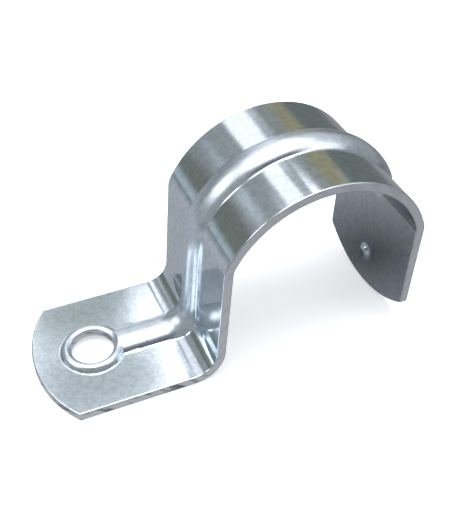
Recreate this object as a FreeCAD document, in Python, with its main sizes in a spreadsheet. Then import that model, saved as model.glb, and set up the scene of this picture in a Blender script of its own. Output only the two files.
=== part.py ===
"""One-hole conduit strap, pressed from one strip of zinc-plated steel.

The strip lies flat as a foot, turns up into a leg, goes over the conduit as an arch
and comes down as a free leg. A bead is pressed outward along its middle, from a raised
ring round the screw hole to the far shoulder, with a matching groove beneath it.

Frame: origin where the screw's axis meets the mounting plane, +X from the foot to the
free leg, +Y along the conduit, +Z out of the mounting surface. Millimetres and degrees.
"""
import FreeCAD, Part
import math
import os
import Sketcher

V = FreeCAD.Vector
START, END, CENTRE = range(1, 4)
ORIGIN = (-1, 1)
X_AXIS = (-1,)
Y_AXIS = (-2,)

# How many sheet thicknesses the outer and the inner form reach below the foot
OUTER_DEPTH = 1
INNER_DEPTH = 2
# Closest that an edge lies to a sheared side to count as part of it, mm
FLAT = 1e-5

# Driving sizes: name, value, what it is
SIZES = (
    ("strip_width", 22.4, "width of the strip, along the conduit"),
    ("sheet_thickness", 1.4, "thickness of the plated sheet"),
    ("hole_reach", 32.6, "screw axis to conduit axis"),
    ("foot_end", 9.0, "screw axis to the tip of the foot"),
    ("arch_radius", 15.7, "inside radius of the arch"),
    ("arch_height", 29.5, "mounting plane to the inside of the crown"),
    ("foot_leg_tuck", 1.1, "how far the leg by the foot stands inside the arch's radius"),
    ("foot_leg_lean", 3.7, "lean of that leg over the conduit"),
    ("free_leg_tuck", 0.9, "how far the free leg stands inside the arch's radius"),
    ("free_leg_lean", 1.1, "pinch of the free leg towards its tip"),
    ("free_leg_lift", 0.1, "tip of the free leg above the mounting plane"),
    ("bend_radius", 3.6, "radius of the bend between foot and leg, upper side"),
    ("shoulder_radius", 1.8, "inside radius where a leg meets the arch"),
    ("end_radius", 18.0, "radius of the rounded ends in the flat"),
    ("bead_height", 1.3, "height of the bead above the sheet"),
    ("bead_crest_radius", 3.3, "radius over the bead"),
    ("bead_root_radius", 0.5, "radius from the bead to the sheet"),
    ("bead_end_rise", 7.8, "conduit axis up to where the bead starts to fade"),
    ("bead_fade_radius", 4.0, "radius in which the bead dives under the sheet"),
    ("bead_fade_turn", 70.0, "turn of that dive"),
    ("hole_diameter", 6.5, "screw hole"),
    ("ring_height", 1.0, "height of the ring round the hole above the sheet"),
    ("ring_crest_reach", 0.7, "edge of the hole to where the ring's crest rounds off"),
    ("ring_crest_radius", 0.75, "radius from the ring's crest to its flank"),
    ("ring_draft", 15.0, "slope of the ring's flank, from the screw's axis"),
    ("dish_width", 0.55, "width of the slope from the ring's crest down into the hole"),
    ("dish_depth", 0.4, "edge of the hole below the ring's crest"),
    ("recess_draft", 35.0, "slope of the hollow under the ring, from the screw's axis"),
    ("nub_diameter", 3.3, "gripping nub on the free leg, at its base"),
    ("nub_height", 0.7, "height of the nub into the conduit space"),
    ("nub_tip_diameter", 1.5, "flat tip of the nub"),
    ("nub_level", 5.7, "mounting plane to the middle of the nub"),
    ("edge_break", 0.2, "broken edge along both sheared sides"),
)

doc = FreeCAD.newDocument("conduit_strap")


def make_sheet():
    """Driving sizes as a table of named cells."""
    table = doc.addObject("Spreadsheet::Sheet", "sizes")
    for row, (alias, value, note) in enumerate(SIZES, start=1):
        table.set(f"A{row}", alias)
        table.set(f"B{row}", str(value))
        table.setAlias(f"B{row}", alias)
        table.set(f"C{row}", note)
    return table


sizes = make_sheet()
doc.recompute()
body = doc.addObject("PartDesign::Body", "strap")
body.Label = "strap"


def size(alias):
    return float(sizes.get(alias))


def plane(role):
    return next(item for item in body.Origin.OriginFeatures if item.Role == role)


def new_sketch(name, role):
    sketch = body.newObject("Sketcher::SketchObject", name)
    sketch.AttachmentSupport = [(plane(role), "")]
    sketch.MapMode = "FlatFace"
    return sketch


def line(sketch, start, end):
    segment = Part.LineSegment(V(start[0], start[1], 0), V(end[0], end[1], 0))
    return sketch.addGeometry(segment, False)


def arc(sketch, centre, radius, first, last):
    """Arc counter-clockwise from the first to the last angle, in radians."""
    circle = Part.Circle(V(centre[0], centre[1], 0), V(0, 0, 1), radius)
    return sketch.addGeometry(Part.ArcOfCircle(circle, first, last), False)


def tie(sketch, kind, *what):
    return sketch.addConstraint(Sketcher.Constraint(kind, *what))


def drive(sketch, name, formula, kind, *what):
    """Add a dimension and bind it to the table of sizes."""
    value = sketch.evalExpression(formula)
    if kind == "Angle":
        value = math.radians(value.Value)
    index = tie(sketch, kind, *what, float(value))
    sketch.renameConstraint(index, name)
    sketch.setExpression(f"Constraints.{name}", formula)


def polar(centre, radius, angle):
    return (centre[0] + radius * math.cos(angle), centre[1] + radius * math.sin(angle))


def fold_points(offset):
    """Tangent points and centres of the folded strip's side view.

    The offset is measured outward from the face that lies on the conduit: nothing
    for the inner face, the sheet's thickness for the outer one.
    """
    arch = (size("hole_reach"), size("arch_height") - size("arch_radius"))
    lean = math.radians(size("foot_leg_lean"))
    pinch = math.radians(size("free_leg_lean"))
    corner = size("shoulder_radius")
    bend = size("bend_radius") + size("sheet_thickness") - offset
    out_left = (-math.cos(lean), math.sin(lean))
    up_left = (math.sin(lean), math.cos(lean))
    out_right = (math.cos(pinch), -math.sin(pinch))
    up_right = (math.sin(pinch), math.cos(pinch))
    swing = size("arch_radius") - corner
    left_reach = swing - size("foot_leg_tuck")
    right_reach = swing - size("free_leg_tuck")
    left_rise = math.sqrt(swing ** 2 - left_reach ** 2)
    right_rise = math.sqrt(swing ** 2 - right_reach ** 2)
    left = (arch[0] + left_reach * out_left[0] + left_rise * up_left[0],
            arch[1] + left_reach * out_left[1] + left_rise * up_left[1])
    right = (arch[0] + right_reach * out_right[0] + right_rise * up_right[0],
             arch[1] + right_reach * out_right[1] + right_rise * up_right[1])
    bend_z = offset + bend
    span = size("arch_radius") - size("foot_leg_tuck") + offset + bend
    bend_x = arch[0] - (span - (bend_z - arch[1]) * math.sin(lean)) / math.cos(lean)
    return {
        "arch": arch,
        "arch_radius": size("arch_radius") + offset,
        "corner_radius": corner + offset,
        "bend_radius": bend,
        "bend": (bend_x, bend_z),
        "left": left,
        "right": right,
        "lean": lean,
        "pinch": pinch,
        "left_angle": math.atan2(left[1] - arch[1], left[0] - arch[0]),
        "right_angle": math.atan2(right[1] - arch[1], right[0] - arch[0]),
    }


def drive_arch(sketch, arch_arc, thickness):
    """Place the arch over the conduit's axis, at its own radius."""
    drive(sketch, "arch_radius", f"sizes.arch_radius{thickness}", "Radius", arch_arc)
    drive(sketch, "arch_x", "sizes.hole_reach", "DistanceX", *ORIGIN, arch_arc, CENTRE)
    drive(sketch, "arch_z", "sizes.arch_height - sizes.arch_radius",
          "DistanceY", *ORIGIN, arch_arc, CENTRE)


def drive_foot_leg(sketch, leg, arch_arc, thickness):
    """Lean the leg by the foot and set its distance from the conduit's axis."""
    drive(sketch, "foot_leg_angle", "90 deg - sizes.foot_leg_lean * 1 deg", "Angle", leg)
    drive(sketch, "foot_leg_reach", f"sizes.arch_radius - sizes.foot_leg_tuck{thickness}",
          "Distance", arch_arc, CENTRE, leg)


def form_sketch(name, offset, thickness, depth):
    """Everything under one face of the folded strip, closed well below the foot.

    offset is that face's distance from the inner one, thickness the same as a formula,
    and depth the number of sheet thicknesses that the form reaches below the foot.
    """
    sketch = new_sketch(name, "XZ_Plane")
    p = fold_points(offset)
    base = -depth * size("sheet_thickness")
    foot_tip = -size("foot_end")
    half = math.pi / 2
    leg_foot = polar(p["bend"], p["bend_radius"], -p["lean"])
    leg_top = polar(p["left"], p["corner_radius"], math.pi - p["lean"])
    free_top = polar(p["right"], p["corner_radius"], -p["pinch"])
    free_foot = (free_top[0] - (free_top[1] - base) * math.tan(p["pinch"]), base)
    end = line(sketch, (foot_tip, base), (foot_tip, offset))
    foot = line(sketch, (foot_tip, offset), (p["bend"][0], offset))
    bend = arc(sketch, p["bend"], p["bend_radius"], -half, -p["lean"])
    leg = line(sketch, leg_foot, leg_top)
    left = arc(sketch, p["left"], p["corner_radius"], p["left_angle"], math.pi - p["lean"])
    arch = arc(sketch, p["arch"], p["arch_radius"], p["right_angle"], p["left_angle"])
    right = arc(sketch, p["right"], p["corner_radius"], -p["pinch"], p["right_angle"])
    free = line(sketch, free_foot, free_top)
    floor = line(sketch, free_foot, (foot_tip, base))
    tie(sketch, "Coincident", end, END, foot, START)
    tie(sketch, "Coincident", free, START, floor, START)
    tie(sketch, "Coincident", floor, END, end, START)
    tie(sketch, "Tangent", foot, END, bend, START)
    tie(sketch, "Tangent", bend, END, leg, START)
    tie(sketch, "Tangent", leg, END, left, END)
    tie(sketch, "Tangent", left, START, arch, END)
    tie(sketch, "Tangent", arch, START, right, END)
    tie(sketch, "Tangent", right, START, free, END)
    tie(sketch, "Vertical", end)
    tie(sketch, "Horizontal", foot)
    tie(sketch, "Horizontal", floor)
    drive_arch(sketch, arch, thickness)
    drive_foot_leg(sketch, leg, arch, thickness)
    drive(sketch, "free_leg_angle", "90 deg - sizes.free_leg_lean * 1 deg", "Angle", free)
    drive(sketch, "free_leg_reach", f"sizes.arch_radius - sizes.free_leg_tuck{thickness}",
          "Distance", arch, CENTRE, free)
    drive(sketch, "left_shoulder", f"sizes.shoulder_radius{thickness}", "Radius", left)
    drive(sketch, "right_shoulder", f"sizes.shoulder_radius{thickness}", "Radius", right)
    bend_formula = "sizes.bend_radius"
    if not thickness:
        bend_formula += " + sizes.sheet_thickness"
    drive(sketch, "bend", bend_formula, "Radius", bend)
    drive(sketch, "tip", "-sizes.foot_end", "DistanceX", *ORIGIN, foot, START)
    drive(sketch, "depth", f"sizes.sheet_thickness * {depth}",
          "DistanceY", floor, END, *ORIGIN)
    if thickness:
        drive(sketch, "foot_top", "sizes.sheet_thickness", "DistanceY", *ORIGIN, foot, START)
    else:
        tie(sketch, "PointOnObject", foot, START, *X_AXIS)
    return sketch


def bead_path():
    """Line of the bead on the inner face: foot, bend, leg, shoulder, arch, then the dive."""
    sketch = new_sketch("bead_path", "XZ_Plane")
    p = fold_points(0.0)
    rise = math.asin(size("bead_end_rise") / p["arch_radius"])
    fade = size("bead_fade_radius")
    fade_centre = polar(p["arch"], p["arch_radius"] - fade, rise)
    fade_end = rise - math.radians(size("bead_fade_turn"))
    leg_foot = polar(p["bend"], p["bend_radius"], -p["lean"])
    leg_top = polar(p["left"], p["corner_radius"], math.pi - p["lean"])
    foot = line(sketch, (0.0, 0.0), (p["bend"][0], 0.0))
    bend = arc(sketch, p["bend"], p["bend_radius"], -math.pi / 2, -p["lean"])
    leg = line(sketch, leg_foot, leg_top)
    left = arc(sketch, p["left"], p["corner_radius"], p["left_angle"], math.pi - p["lean"])
    arch = arc(sketch, p["arch"], p["arch_radius"], rise, p["left_angle"])
    dive = arc(sketch, fade_centre, fade, fade_end, rise)
    tie(sketch, "Coincident", foot, START, *ORIGIN)
    tie(sketch, "Horizontal", foot)
    tie(sketch, "Tangent", foot, END, bend, START)
    tie(sketch, "Tangent", bend, END, leg, START)
    tie(sketch, "Tangent", leg, END, left, END)
    tie(sketch, "Tangent", left, START, arch, END)
    tie(sketch, "Tangent", arch, START, dive, END)
    drive_arch(sketch, arch, "")
    drive_foot_leg(sketch, leg, arch, "")
    drive(sketch, "bend", "sizes.bend_radius + sizes.sheet_thickness", "Radius", bend)
    drive(sketch, "shoulder", "sizes.shoulder_radius", "Radius", left)
    drive(sketch, "fade", "sizes.bead_fade_radius", "Radius", dive)
    drive(sketch, "fade_turn", "sizes.bead_fade_turn * 1 deg", "Angle", dive)
    drive(sketch, "end_rise", "sizes.bead_end_rise", "DistanceY", arch, CENTRE, arch, START)
    return sketch


def bead_section(name, offset, root, closing):
    """Half-round bead with hollow roots, on the plane across the strip at the screw axis.

    offset is the distance inward from the bead's outer face, root the level at which
    it runs into the sheet and closing the level of the flat that closes the section.
    Each is a pair: its value and its formula.
    """
    sketch = new_sketch(name, "YZ_Plane")
    crest_radius = size("bead_crest_radius") - offset[0]
    root_radius = size("bead_root_radius") + offset[0]
    height = size("bead_height")
    spread = crest_radius + root_radius
    reach = math.sqrt(2 * height * spread - height ** 2)
    flank = math.atan2(spread - height, reach)
    low = closing[0]
    level = root[0]
    crest_z = level + height - crest_radius
    root_z = level + root_radius
    down = 1.5 * math.pi
    crest = arc(sketch, (0, crest_z), crest_radius, flank, math.pi - flank)
    right = arc(sketch, (reach, root_z), root_radius, math.pi + flank, down)
    left = arc(sketch, (-reach, root_z), root_radius, down, 2 * math.pi - flank)
    right_side = line(sketch, (reach, level), (reach, low))
    left_side = line(sketch, (-reach, level), (-reach, low))
    flat = line(sketch, (-reach, low), (reach, low))
    tie(sketch, "Tangent", crest, START, right, START)
    tie(sketch, "Tangent", crest, END, left, END)
    tie(sketch, "Perpendicular", right, END, right_side, START)
    tie(sketch, "Perpendicular", left, START, left_side, START)
    tie(sketch, "Coincident", right_side, END, flat, END)
    tie(sketch, "Coincident", left_side, END, flat, START)
    tie(sketch, "Vertical", right_side)
    tie(sketch, "Vertical", left_side)
    tie(sketch, "Horizontal", flat)
    tie(sketch, "PointOnObject", crest, CENTRE, *Y_AXIS)
    tie(sketch, "Equal", left, right)
    drive(sketch, "crest", f"sizes.bead_crest_radius - {offset[1]}", "Radius", crest)
    drive(sketch, "root", f"sizes.bead_root_radius + {offset[1]}", "Radius", right)
    drive(sketch, "crest_level",
          f"{root[1]} + sizes.bead_height - sizes.bead_crest_radius + {offset[1]}",
          "DistanceY", *ORIGIN, crest, CENTRE)
    drive(sketch, "right_root", f"{root[1]} + sizes.bead_root_radius + {offset[1]}",
          "DistanceY", *ORIGIN, right, CENTRE)
    drive(sketch, "left_root", f"{root[1]} + sizes.bead_root_radius + {offset[1]}",
          "DistanceY", *ORIGIN, left, CENTRE)
    drive(sketch, "closing", closing[1], "DistanceY", *ORIGIN, flat, START)
    return sketch


def ring_section():
    """Half section of the raised ring round the screw hole: level crest, round and flank."""
    sketch = new_sketch("ring_section", "XZ_Plane")
    corner = size("ring_crest_radius")
    draft = math.radians(size("ring_draft"))
    land_edge = size("hole_diameter") / 2 + size("ring_crest_reach")
    inside = size("hole_diameter") / 4
    crest = size("sheet_thickness") + size("ring_height")
    low = size("sheet_thickness") / 2
    shoulder = polar((land_edge, crest - corner), corner, draft)
    foot_x = shoulder[0] + (shoulder[1] - low) * math.tan(draft)
    land = line(sketch, (inside, crest), (land_edge, crest))
    rounding = arc(sketch, (land_edge, crest - corner), corner, draft, math.pi / 2)
    flank = line(sketch, shoulder, (foot_x, low))
    flat = line(sketch, (foot_x, low), (inside, low))
    inner = line(sketch, (inside, low), (inside, crest))
    tie(sketch, "Tangent", land, END, rounding, END)
    tie(sketch, "Tangent", rounding, START, flank, START)
    tie(sketch, "Coincident", flank, END, flat, START)
    tie(sketch, "Coincident", flat, END, inner, START)
    tie(sketch, "Coincident", inner, END, land, START)
    tie(sketch, "Horizontal", land)
    tie(sketch, "Horizontal", flat)
    tie(sketch, "Vertical", inner)
    drive(sketch, "corner", "sizes.ring_crest_radius", "Radius", rounding)
    drive(sketch, "draft", "sizes.ring_draft * 1 deg - 90 deg", "Angle", flank)
    drive(sketch, "land_edge", "sizes.hole_diameter / 2 + sizes.ring_crest_reach",
          "DistanceX", *ORIGIN, land, END)
    drive(sketch, "inside", "sizes.hole_diameter / 4", "DistanceX", *ORIGIN, land, START)
    drive(sketch, "crest", "sizes.sheet_thickness + sizes.ring_height",
          "DistanceY", *ORIGIN, land, START)
    drive(sketch, "low", "sizes.sheet_thickness / 2", "DistanceY", *ORIGIN, flat, START)
    return sketch


def recess_section():
    """Half section of the hollow that the punch leaves under the ring."""
    sketch = new_sketch("recess_section", "XZ_Plane")
    roof_level = size("ring_height")
    low = -size("sheet_thickness") / 2
    mouth = size("hole_diameter") / 2 + size("ring_crest_reach") + size("ring_crest_radius")
    roof_edge = mouth - roof_level * math.tan(math.radians(size("recess_draft")))
    flank = line(sketch, (roof_edge, roof_level), (mouth, 0.0))
    outer = line(sketch, (mouth, 0.0), (mouth, low))
    flat = line(sketch, (mouth, low), (0.0, low))
    axis = line(sketch, (0.0, low), (0.0, roof_level))
    roof = line(sketch, (0.0, roof_level), (roof_edge, roof_level))
    chain = (flank, outer, flat, axis, roof, flank)
    for first, second in zip(chain, chain[1:]):
        tie(sketch, "Coincident", first, END, second, START)
    tie(sketch, "Vertical", outer)
    tie(sketch, "Horizontal", flat)
    tie(sketch, "Horizontal", roof)
    tie(sketch, "PointOnObject", axis, START, *Y_AXIS)
    tie(sketch, "PointOnObject", axis, END, *Y_AXIS)
    tie(sketch, "PointOnObject", flank, END, *X_AXIS)
    drive(sketch, "mouth",
          "sizes.hole_diameter / 2 + sizes.ring_crest_reach + sizes.ring_crest_radius",
          "DistanceX", *ORIGIN, flank, END)
    drive(sketch, "draft", "sizes.ring_height * tan(sizes.recess_draft * 1 deg)",
          "DistanceX", flank, START, flank, END)
    drive(sketch, "roof_z", "sizes.ring_height", "DistanceY", *ORIGIN, roof, START)
    drive(sketch, "low", "sizes.sheet_thickness / 2", "DistanceY", axis, START, *ORIGIN)
    return sketch


def hole_section():
    """Half section of the screw hole and of the dish that leads into it from the crest.

    The dish's slope carries on above the crest for as much again.
    """
    sketch = new_sketch("hole_section", "XZ_Plane")
    radius = size("hole_diameter") / 2
    low = -size("sheet_thickness")
    edge = size("sheet_thickness") + size("ring_height") - size("dish_depth")
    rim = (radius + 2 * size("dish_width"), edge + 2 * size("dish_depth"))
    floor = line(sketch, (0.0, low), (radius, low))
    wall = line(sketch, (radius, low), (radius, edge))
    dish = line(sketch, (radius, edge), rim)
    top = line(sketch, rim, (0.0, rim[1]))
    axis = line(sketch, (0.0, rim[1]), (0.0, low))
    chain = (floor, wall, dish, top, axis, floor)
    for first, second in zip(chain, chain[1:]):
        tie(sketch, "Coincident", first, END, second, START)
    tie(sketch, "Horizontal", floor)
    tie(sketch, "Vertical", wall)
    tie(sketch, "Horizontal", top)
    tie(sketch, "PointOnObject", axis, START, *Y_AXIS)
    tie(sketch, "PointOnObject", axis, END, *Y_AXIS)
    drive(sketch, "radius", "sizes.hole_diameter / 2", "DistanceX", *ORIGIN, wall, START)
    drive(sketch, "low", "sizes.sheet_thickness", "DistanceY", axis, END, *ORIGIN)
    drive(sketch, "edge", "sizes.sheet_thickness + sizes.ring_height - sizes.dish_depth",
          "DistanceY", *ORIGIN, wall, END)
    drive(sketch, "dish_run", "2 * sizes.dish_width", "DistanceX", dish, START, dish, END)
    drive(sketch, "dish_rise", "2 * sizes.dish_depth", "DistanceY", dish, START, dish, END)
    return sketch


def end_sketch(name, role, turn, **place):
    """What is sheared off beyond a rounded end, in a frame at its tip.

    The frame's +X runs into the strip. turn is its angle on the plane in degrees, and
    place holds a formula for each coordinate of the tip that isn't zero.
    """
    sketch = new_sketch(name, role)
    sketch.AttachmentOffset = FreeCAD.Placement(V(), FreeCAD.Rotation(V(0, 0, 1), turn))
    for coordinate, formula in place.items():
        sketch.setExpression(f"AttachmentOffset.Base.{coordinate}", formula)
    radius = size("end_radius")
    side = size("strip_width") / 2 + size("sheet_thickness")
    sweep = math.asin(side / radius)
    far = -INNER_DEPTH * size("sheet_thickness")
    shoulder = radius - radius * math.cos(sweep)
    edge = arc(sketch, (radius, 0.0), radius, math.pi - sweep, math.pi + sweep)
    top = line(sketch, (shoulder, side), (far, side))
    beyond = line(sketch, (far, side), (far, -side))
    bottom = line(sketch, (far, -side), (shoulder, -side))
    tie(sketch, "Coincident", edge, START, top, START)
    tie(sketch, "Coincident", top, END, beyond, START)
    tie(sketch, "Coincident", beyond, END, bottom, START)
    tie(sketch, "Coincident", bottom, END, edge, END)
    tie(sketch, "Horizontal", top)
    tie(sketch, "Vertical", beyond)
    tie(sketch, "Horizontal", bottom)
    tie(sketch, "PointOnObject", edge, CENTRE, *X_AXIS)
    side_formula = "sizes.strip_width / 2 + sizes.sheet_thickness"
    drive(sketch, "end_radius", "sizes.end_radius", "Radius", edge)
    drive(sketch, "centre", "sizes.end_radius", "DistanceX", *ORIGIN, edge, CENTRE)
    drive(sketch, "beyond", f"{INNER_DEPTH} * sizes.sheet_thickness",
          "DistanceX", beyond, START, *ORIGIN)
    drive(sketch, "top", side_formula, "DistanceY", *ORIGIN, beyond, START)
    drive(sketch, "bottom", side_formula, "DistanceY", beyond, END, *ORIGIN)
    return sketch


def nub_section(name, level, level_formula):
    """Half section of the nub's blunt cone, in a frame at its root on the free leg.

    The frame's +X runs outward along the nub's axis from the leg's inner face, and
    level is how far out from that face the cone's base lies.
    """
    sketch = new_sketch(name, "XZ_Plane")
    sketch.AttachmentOffset = FreeCAD.Placement(V(), FreeCAD.Rotation(V(0, 0, 1), 0))
    sketch.setExpression(
        "AttachmentOffset.Base.x",
        "sizes.hole_reach + (sizes.arch_radius - sizes.free_leg_tuck"
        " + (sizes.nub_level - sizes.arch_height + sizes.arch_radius)"
        " * sin(sizes.free_leg_lean * 1 deg)) / cos(sizes.free_leg_lean * 1 deg)")
    sketch.setExpression("AttachmentOffset.Base.y", "sizes.nub_level")
    sketch.setExpression("AttachmentOffset.Rotation.Angle", "-sizes.free_leg_lean * 1 deg")
    tip = level - size("nub_height")
    back = level + size("sheet_thickness") / 2
    narrow = size("nub_tip_diameter") / 2
    wide = size("nub_diameter") / 2
    face = line(sketch, (tip, 0.0), (tip, narrow))
    flank = line(sketch, (tip, narrow), (level, wide))
    neck = line(sketch, (level, wide), (back, wide))
    end = line(sketch, (back, wide), (back, 0.0))
    axis = line(sketch, (back, 0.0), (tip, 0.0))
    for first, second in ((face, flank), (flank, neck), (neck, end), (end, axis), (axis, face)):
        tie(sketch, "Coincident", first, END, second, START)
    tie(sketch, "PointOnObject", axis, START, *X_AXIS)
    tie(sketch, "PointOnObject", axis, END, *X_AXIS)
    tie(sketch, "Vertical", face)
    tie(sketch, "Horizontal", neck)
    tie(sketch, "Vertical", end)
    drive(sketch, "tip", f"{level_formula} - sizes.nub_height",
          "DistanceX", *ORIGIN, axis, END)
    drive(sketch, "root", level_formula, "DistanceX", *ORIGIN, neck, START)
    drive(sketch, "back", f"{level_formula} + sizes.sheet_thickness / 2",
          "DistanceX", *ORIGIN, axis, START)
    drive(sketch, "narrow", "sizes.nub_tip_diameter / 2", "DistanceY", *ORIGIN, face, END)
    drive(sketch, "wide", "sizes.nub_diameter / 2", "DistanceY", *ORIGIN, neck, START)
    return sketch


def feature(kind, name, **properties):
    """Add a feature to the body, compute it and stop if it failed or changed nothing."""
    before = body.Shape.Volume if body.Shape.Solids else 0.0
    item = body.newObject(f"PartDesign::{kind}", name)
    for key, value in properties.items():
        setattr(item, key, value)
    doc.recompute()
    wrong = {"Invalid", "Error"} & set(item.State)
    if wrong or item.Shape.isNull() or not item.Shape.isValid():
        raise RuntimeError(f"{name} failed: {item.State}")
    grows = kind in ("Pad", "AdditivePipe", "Revolution")
    change = item.Shape.Volume - before
    if (change > 0) != grows:
        raise RuntimeError(f"{name} changed the volume by {change:.3f}")
    print(f"{name}: {change:+.2f} mm3, {len(item.Shape.Solids)} solid")
    return item


def whole(sketch):
    """A whole path sketch as a spine."""
    return (sketch, [f"Edge{index}" for index in range(1, len(sketch.Shape.Edges) + 1)])


def press_form():
    """The folded strip with its bead and ring: outer form less inner form."""
    thick = size("sheet_thickness")
    outer = form_sketch("outer_form", thick, " + sizes.sheet_thickness", OUTER_DEPTH)
    pad = feature("Pad", "outer_skin", Profile=outer, Midplane=True)
    pad.setExpression("Length", "sizes.strip_width")
    path = bead_path()
    over = bead_section("bead_over", (0.0, "0"), (thick, "sizes.sheet_thickness"),
                        (thick / 2, "sizes.sheet_thickness / 2"))
    doc.recompute()
    feature("AdditivePipe", "bead", Profile=over, Spine=whole(path))
    ring = ring_section()
    feature("Revolution", "ring", Profile=ring, ReferenceAxis=(ring, ["V_Axis"]), Angle=360.0)
    inner = form_sketch("inner_form", 0.0, "", INNER_DEPTH)
    feature("Pocket", "inner_skin", Profile=inner, Type="ThroughAll", Midplane=True)
    under = bead_section("bead_under", (thick, "sizes.sheet_thickness"), (0.0, "0"),
                         (-thick / 2, "-sizes.sheet_thickness / 2"))
    feature("SubtractivePipe", "groove", Profile=under, Spine=whole(path))
    recess = recess_section()
    feature("Groove", "ring_recess", Profile=recess, ReferenceAxis=(recess, ["V_Axis"]),
            Angle=360.0)


def pierce_and_trim():
    """Screw hole and the two rounded ends."""
    hole = hole_section()
    feature("Groove", "screw_hole", Profile=hole, ReferenceAxis=(hole, ["V_Axis"]), Angle=360.0)
    foot = end_sketch("foot_end", "XY_Plane", 0.0, x="-sizes.foot_end")
    feature("Pocket", "foot_trim", Profile=foot, Type="ThroughAll", Midplane=True)
    free = end_sketch("free_end", "YZ_Plane", 90.0,
                      y="sizes.free_leg_lift", z="sizes.hole_reach")
    feature("Pocket", "free_leg_trim", Profile=free, Type="ThroughAll", Reversed=True)


def press_nub():
    """Nub on the free leg's inner face, with the punch's dimple outside."""
    nub = nub_section("nub_outline", 0.0, "0")
    feature("Revolution", "nub", Profile=nub, ReferenceAxis=(nub, ["H_Axis"]), Angle=360.0)
    dimple = nub_section("dimple_outline", size("sheet_thickness"), "sizes.sheet_thickness")
    feature("Groove", "dimple", Profile=dimple, ReferenceAxis=(dimple, ["H_Axis"]), Angle=360.0)


def side_edges(shape):
    """Edges along the two sheared sides of the strip."""
    side = size("strip_width") / 2
    names = []
    for index, edge in enumerate(shape.Edges, start=1):
        box = edge.BoundBox
        if abs(abs(box.YMin) - side) < FLAT and abs(box.YMax - box.YMin) < FLAT:
            names.append(f"Edge{index}")
    return names


press_form()
pierce_and_trim()
press_nub()
last = body.Tip
edges = feature("Chamfer", "sheared_edges", Base=(last, side_edges(last.Shape)),
                Size=size("edge_break"))
edges.setExpression("Size", "sizes.edge_break")
doc.recompute()

for item in doc.Objects:
    if {"Invalid", "Error"} & set(item.State):
        raise RuntimeError(f"{item.Label} is {item.State}")
if body.Shape.isNull() or not body.Shape.isValid() or len(body.Shape.Solids) != 1:
    raise RuntimeError("the strap isn't one valid solid")
os.makedirs("parts", exist_ok=True)
body.Shape.exportStep(f"parts/{body.Label}.step")
box = body.Shape.optimalBoundingBox()
print(f"strap {box.XLength:.2f} x {box.YLength:.2f} x {box.ZLength:.2f} mm,"
      f" {body.Shape.Volume:.1f} mm3")
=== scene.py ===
"""One-hole conduit strap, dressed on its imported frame.

A flat blank of plated sheet is drawn with its rounded ends and its screw hole. Each
point carries how far the press pushes it outward and how far along the blank it lies,
and a node tree presses the blank and folds it at its four bends.

Lengths are in metres. The strap's frame has its origin where the screw's axis meets the
mounting plane, +X towards the free leg, +Y along the conduit and +Z out of the surface.
"""

import math

import bmesh
import bpy
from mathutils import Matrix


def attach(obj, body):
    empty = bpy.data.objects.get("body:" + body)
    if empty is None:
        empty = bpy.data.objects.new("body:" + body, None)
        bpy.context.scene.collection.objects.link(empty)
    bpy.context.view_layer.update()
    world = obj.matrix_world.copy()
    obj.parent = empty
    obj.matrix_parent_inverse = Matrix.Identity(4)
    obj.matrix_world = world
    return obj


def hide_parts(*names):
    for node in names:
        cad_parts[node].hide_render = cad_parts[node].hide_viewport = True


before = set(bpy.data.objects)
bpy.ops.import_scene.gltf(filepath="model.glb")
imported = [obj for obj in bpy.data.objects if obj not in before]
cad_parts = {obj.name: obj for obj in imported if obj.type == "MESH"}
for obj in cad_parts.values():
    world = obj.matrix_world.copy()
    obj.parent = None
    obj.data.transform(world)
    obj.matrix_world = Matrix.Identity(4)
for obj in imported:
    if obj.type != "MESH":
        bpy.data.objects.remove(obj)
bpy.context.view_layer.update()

bl_info = {
    "name": "Conduit strap",
    "version": (1, 0, 0),
    "blender": (4, 5, 0),
    "location": "3D View > Sidebar > Strap",
    "description": "One-hole conduit strap, pressed from zinc-plated sheet",
    "category": "Object",
}

MM = 0.001

# Greatest spacing of the mesh's points: on the foot, on the rest of the strip, round the
# nub, and from the strip's middle to its edge.
FOOT_STEP = 0.4 * MM
STRIP_STEP = 0.42 * MM
NUB_STEP = 0.2 * MM
ACROSS_STEPS = (0.2 * MM, 0.08 * MM, 0.15 * MM, 0.3 * MM, 0.6 * MM)

# A bend of less than this radius is meshed by its turn, down to a least step.
TIGHT_RADIUS = 8 * MM
TIGHT_TURN = math.radians(4)
TIGHT_STEP = 0.09 * MM

# A step may be longer than asked by this share, so that rounding adds no station.
STEP_SLACK = 1e-3

# Rounds of the ring are meshed by these turns, and the foot beside it by this step.
CREST_TURN = math.radians(10)
ROOT_TURN = math.radians(-15)
RING_STEP = 0.2 * MM

# Reach of the fine mesh round the nub and beside the bead, of the rays round the hole,
# and of the free leg's stations that follow its rounded tip.
NUB_REACH = 2.2 * MM
BEAD_REACH = 5.2 * MM
RAY_REACH = 5.7 * MM
TIP_REACH = 9 * MM

# Where the loops of points lie between the square round the hole and the ring's circles.
SQUARE_SHARES = (0.3, 0.6, 0.85)

# Turns that mesh a rounded edge, and the heights of the loops on the wall between two.
RIM_TURNS = [math.radians(turn) for turn in (0, 22.5, 45, 67.5, 90)]
WALL_SHARES = (0.75, 0.5, 0.25)

# Flat strip of faces that holds the rounds of the outline and of the hole's edge.
OUTLINE_SUPPORT = 0.06 * MM
HOLE_SUPPORT = 0.05 * MM

# Edges of the mesh that turn by more than this are sharp.
SHARP_TURN = math.radians(35)

# How far the bead's width follows its crest, the difference in height over which the
# bead and the ring blend, and the least height that another is divided by.
BEAD_FLARE = 0.2
BLEND_REACH = 0.22 * MM
LEAST_HEIGHT = 1e-9

# The press moves the metal this far out where it is roughest.
DRAWN_HEIGHT = 0.8 * MM

# Where the tear streaks of the sheared edge fade, in mm along the strip from the screw,
# and how much of them is left beyond.
TEARS_FADE = (13, 20)
TEARS_LEFT = 0.12

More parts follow.
